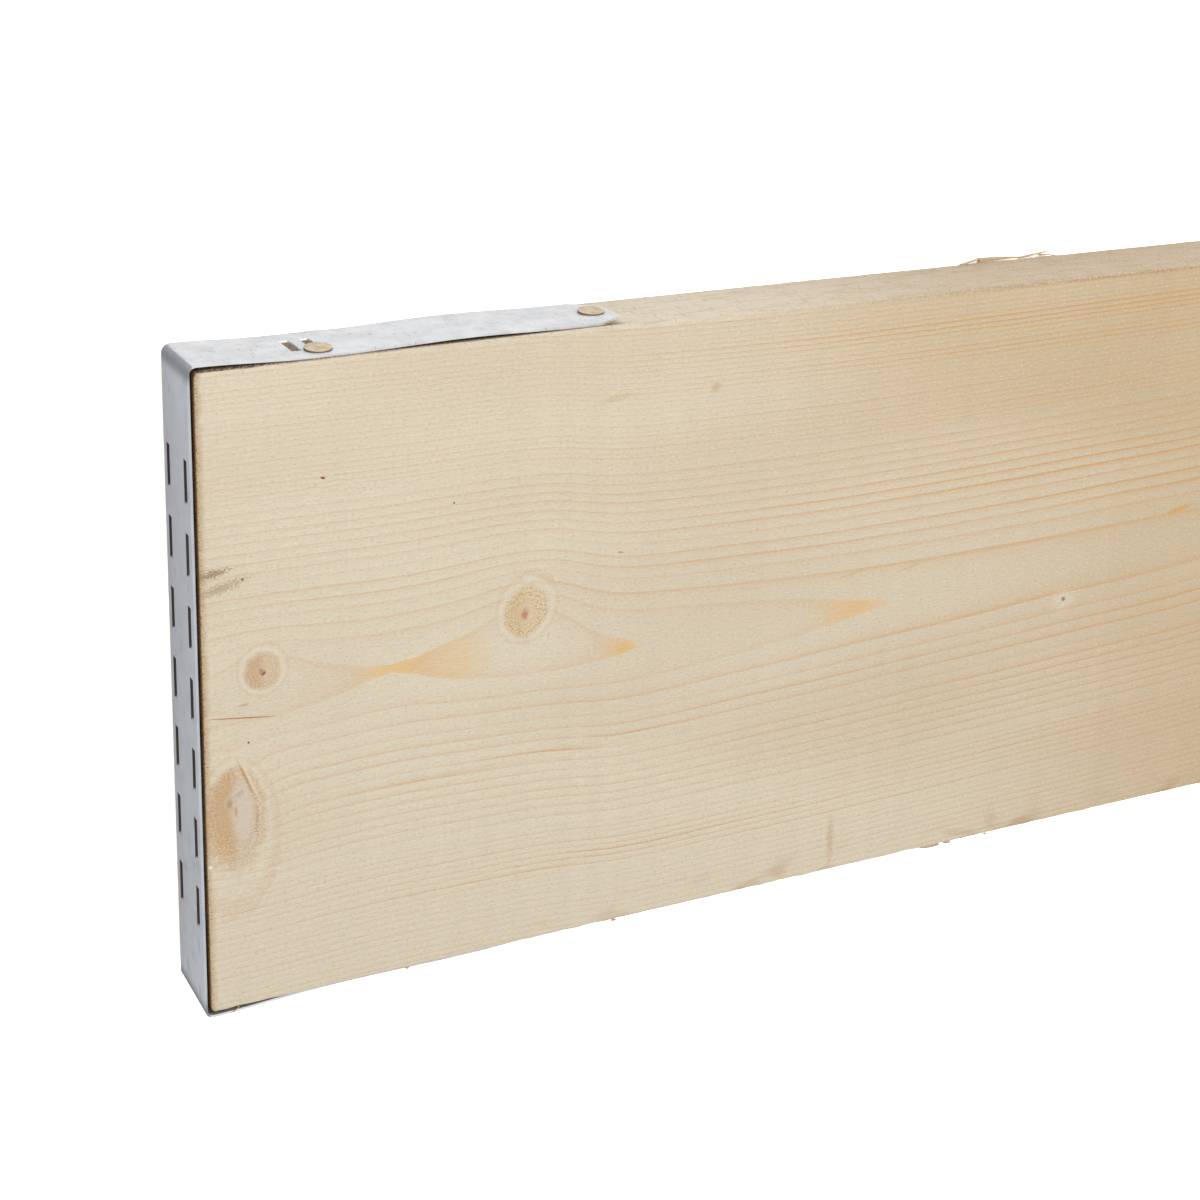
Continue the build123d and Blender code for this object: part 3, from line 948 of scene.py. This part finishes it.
@dataclass(frozen=True)
class Sliver:
    """A raised splinter: a strip of wood drawn out step by step. Millimetres, from the board's middle."""

    name: str
    root: tuple[float, float, float]
    steps: tuple[tuple[float, float, float], ...]
    depth: float            # across the width of the board
    breadth: float          # through the thickness of the board
    taper: tuple[float, ...]
    root_length: float = 0.3

    def build(self, material: bpy.types.Material) -> None:
        """Model the splinter in the board's finish."""
        Bench.clear()
        bpy.ops.mesh.primitive_cube_add(size=1, location=Vector(self.root) * MM,
                                        scale=Vector((self.root_length, self.depth, self.breadth)) * MM)
        piece = bpy.context.object
        Bench.apply()
        way = math.copysign(1, self.steps[0][0])
        bpy.ops.object.mode_set(mode="EDIT")
        Bench.pick(piece, "FACE", lambda face: face.normal.x * way > 0.9)
        for step, taper in zip(self.steps, self.taper):
            bpy.ops.mesh.extrude_region_move(TRANSFORM_OT_translate={"value": Vector(step) * MM})
            bpy.ops.transform.resize(value=(1, taper, taper))
        bpy.ops.object.mode_set(mode="OBJECT")
        Bench.settle(piece, self.name, material, Slot.WOOD)


@dataclass
class Splinters:
    """The splinters that the saw raised on the board's edges."""

    material: bpy.types.Material
    slivers: tuple[Sliver, ...] = (
        Sliver("splinter_rise", (-884, 112.5, 2.0), ((5, 0.9, -0.4), (4.5, 0.9, -0.4)), 0.45, 1.6,
               (0.9, 0.8)),
        Sliver("splinter_sheet", (-875, 113.4, 1.2), ((3, 0.1, 0), (11, -0.15, 0), (10, -0.5, 0.2)), 1.5, 1.4,
               (1.0, 0.55, 0.15)),
        Sliver("splinter_hook", (-856, 112.9, 1.2), ((6, 0.6, -0.1), (6, 0.6, -0.2), (3, 0.35, 0)), 0.5, 1.2,
               (0.9, 0.8, 0.3)),
        Sliver("splinter_heel", (-846, 113.2, 1.4), ((3, -0.1, 0), (4, -0.5, 0.1)), 0.4, 1.2, (0.9, 0.5)),
        Sliver("splinter_curl", (-1190.2, -112.4, 37.3),
               ((-0.3, -0.5, 0.1), (-0.7, -0.5, 0), (-1.6, -0.7, 0.1)), 0.4, 0.4, (0.9, 0.9, 0.6)),
    )

    def build(self) -> None:
        """Model every splinter."""
        for sliver in self.slivers:
            sliver.build(self.material)


@dataclass
class Nails:
    """The eight flat-head nails, each in place of its CAD node. Sizes in metres."""

    material: bpy.types.Material
    head: float = 0.0095
    head_depth: float = 0.0013
    shank: float = 0.003
    length: float = 0.040
    point: float = 0.0045
    point_share: float = 0.25       # width of the tip, as a share of the shank's
    rounding: float = 0.12          # of the head's upper edge, as a share of the head's depth
    sides: int = 36
    tilt: float = 5.0               # degrees that a head leans towards the working face

    def build(self) -> None:
        """Model one nail for each nail node."""
        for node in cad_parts:
            if node.startswith("nail_"):
                self._nail(node)

    def _nail(self, node: str) -> None:
        """Model the nail that stands for a node."""
        low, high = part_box(node)
        side = 1 if low.y + high.y > 0 else -1
        Bench.clear()
        bpy.ops.mesh.primitive_cylinder_add(vertices=self.sides, radius=self.head / 2, depth=self.head_depth)
        nail = bpy.context.object
        bpy.ops.object.mode_set(mode="EDIT")
        rim = self.head_depth / 2 - TINY
        Bench.pick(nail, "EDGE", lambda edge: all(corner.co.z > rim for corner in edge.verts))
        bpy.ops.mesh.bevel(offset=self.head_depth * self.rounding, segments=2, affect="EDGES")
        Bench.pick(nail, "FACE", lambda face: face.normal.z < -0.9 and len(face.verts) > 8)
        bpy.ops.mesh.inset(thickness=(self.head - self.shank) / 2)
        stem = self.length - self.head_depth - self.point
        bpy.ops.mesh.extrude_region_move(TRANSFORM_OT_translate={"value": (0, 0, -stem)})
        bpy.ops.mesh.extrude_region_move(TRANSFORM_OT_translate={"value": (0, 0, -self.point)})
        bpy.ops.transform.resize(value=(self.point_share, self.point_share, 1))
        bpy.ops.object.mode_set(mode="OBJECT")
        middle = (low + high) / 2
        lean = self.head / 2 * math.sin(math.radians(self.tilt))
        seat = (high.y if side > 0 else low.y) - side * (self.head_depth / 2 + lean)
        nail.matrix_world = (Matrix.Translation((middle.x, seat, middle.z))
                             @ Matrix.Rotation(math.radians(self.tilt) * side, 4, "X")
                             @ Matrix.Rotation(math.radians(-90) * side, 4, "X"))
        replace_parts(Bench.settle(nail, f"{node}_driven", self.material, Slot.NAIL), node)


@dataclass
class Bands:
    """The two punched bands, which keep their CAD shape."""

    material: bpy.types.Material

    def build(self) -> None:
        """Dress both bands."""
        for name in ("end_band_near", "end_band_far"):
            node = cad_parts[name]
            node.data.materials.clear()
            node.data.materials.append(self.material)
            LOG.info("%s dressed", name)


@dataclass
class Studio:
    """White floor, soft lamp and the camera of the photograph. Sizes in metres."""

    floor_size: float = 16.0
    floor_gap: float = 0.0002
    eye: tuple[float, float, float] = (-1.38832, 0.30569, 0.71019)
    right: tuple[float, float, float] = (0.8988, 0.0149, 0.4381)
    up: tuple[float, float, float] = (0.0909, 0.9714, -0.2195)
    lens: float = 67.92
    sensor: float = 36.0
    drop: float = -0.25             # upright shift of the picture, as a share of its width
    near_clip: float = 0.01
    floor_tone: float = 0.8
    floor_mirrored: float = 0.95
    floor_seen: float = 3.0
    fill: float = 0.69
    sky_mirrored: float = 0.9
    key: float = 37.0
    key_size: tuple[float, float] = (3.0, 2.0)
    key_place: tuple[float, float, float] = (-0.2, 2.2, 2.0)
    key_aim: tuple[float, float, float] = (-1.0, 0.0, 0.0)

    def build(self) -> None:
        """Set up the whole studio."""
        self._camera()
        self._floor()
        self._world()
        self._lamp()

    def _camera(self) -> None:
        """The camera, from its place and its two picture directions."""
        data = bpy.data.cameras.new("photo_camera")
        camera = bpy.data.objects.new("photo_camera", data)
        bpy.context.scene.collection.objects.link(camera)
        right = Vector(self.right).normalized()
        up = (Vector(self.up) - Vector(self.up).project(right)).normalized()
        turn = Matrix((right, up, right.cross(up))).transposed()
        camera.matrix_world = Matrix.Translation(self.eye) @ turn.to_4x4()
        data.lens = self.lens
        data.sensor_width = self.sensor
        data.shift_y = self.drop
        data.clip_start = self.near_clip
        bpy.context.scene.camera = camera

    def _floor(self) -> None:
        """A white floor that keeps the board's shadow."""
        Bench.clear()
        bpy.ops.mesh.primitive_plane_add(size=self.floor_size, location=(0, 0, -self.floor_gap))
        floor = bpy.context.object
        floor.name = "floor"
        Bench.apply()
        material = bpy.data.materials.new("white_floor")
        material.use_nodes = True
        tree = material.node_tree
        tree.nodes.clear()
        matt = tree.nodes.new("ShaderNodeBsdfDiffuse")
        out = tree.nodes.new("ShaderNodeOutputMaterial")
        tone = self._level(tree, self.floor_tone, self.floor_mirrored, self.floor_seen)
        tree.links.new(tone, matt.inputs["Color"])
        tree.links.new(matt.outputs[0], out.inputs["Surface"])
        floor.data.materials.append(material)

    @staticmethod
    def _level(tree: bpy.types.NodeTree, lit: float, mirrored: float, seen: float) -> bpy.types.NodeSocket:
        """One brightness for the light on other things, one in mirrors and one for the camera."""
        path = tree.nodes.new("ShaderNodeLightPath")
        value = None
        for output, level in (("Is Glossy Ray", mirrored), ("Is Camera Ray", seen)):
            pick = tree.nodes.new("ShaderNodeMix")
            tree.links.new(path.outputs[output], pick.inputs[0])
            pick.inputs[2].default_value = lit
            pick.inputs[3].default_value = level
            if value:
                tree.links.new(value, pick.inputs[2])
            value = pick.outputs[0]
        return value

    def _world(self) -> None:
        """Even white surroundings, full white where the camera sees them."""
        world = bpy.data.worlds.new("studio")
        world.use_nodes = True
        bpy.context.scene.world = world
        tree = world.node_tree
        ground = tree.nodes["Background"]
        ground.inputs["Color"].default_value = (1, 1, 1, 1)
        tree.links.new(self._level(tree, self.fill, self.sky_mirrored, 1.0), ground.inputs["Strength"])

    def _lamp(self) -> None:
        """A broad soft lamp beyond the edge at +Y, turned to the photographed end."""
        data = bpy.data.lights.new("soft_key", "AREA")
        data.shape = "RECTANGLE"
        data.size, data.size_y = self.key_size
        data.energy = self.key
        lamp = bpy.data.objects.new("soft_key", data)
        bpy.context.scene.collection.objects.link(lamp)
        place = Vector(self.key_place)
        turn = (Vector(self.key_aim) - place).to_track_quat("-Z", "Y")
        lamp.matrix_world = Matrix.Translation(place) @ turn.to_matrix().to_4x4()


def main() -> None:
    """Build the board, its bands and nails, and the studio."""
    logging.basicConfig(level=logging.INFO, format="%(message)s")
    bpy.context.scene.view_settings.view_transform = "Standard"
    Studio().build()
    wood = Whitewood().build()
    Board(wood).build()
    Splinters(wood).build()
    Bands(Galvanised().build()).build()
    Nails(NailSteel().build()).build()


if __name__ == "__main__":
    main()
